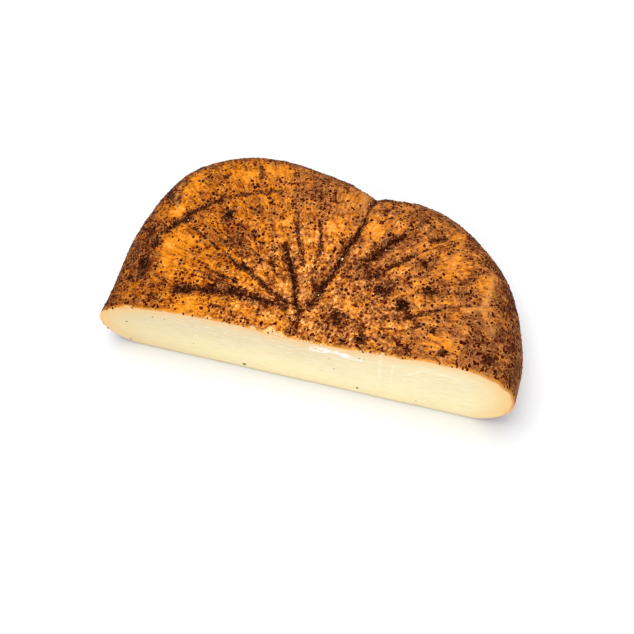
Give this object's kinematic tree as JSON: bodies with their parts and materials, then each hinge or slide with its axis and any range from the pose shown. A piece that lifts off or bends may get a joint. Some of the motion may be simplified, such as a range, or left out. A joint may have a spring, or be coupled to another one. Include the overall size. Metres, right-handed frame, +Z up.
{
  "type": "dry jack cheese half wheel",
  "caption": "Half wheel of hard aged cheese with a dark rubbed, pleated rind and a flat pale cut face; rests on its flat base as food to slice or grate.",
  "frame": {"origin": "on the surface that the piece rests on, under the middle of its bounding box", "axes": "+Z up, +X along the cut to the right as seen facing the cut face, +Y from the cut face to the back rim"},
  "size_m": [0.2732, 0.139, 0.0744],
  "materials": {
    "cheese": null
  },
  "bodies": {
    "root": {"half_wheel": "cheese"}
  },
  "joints": []
}
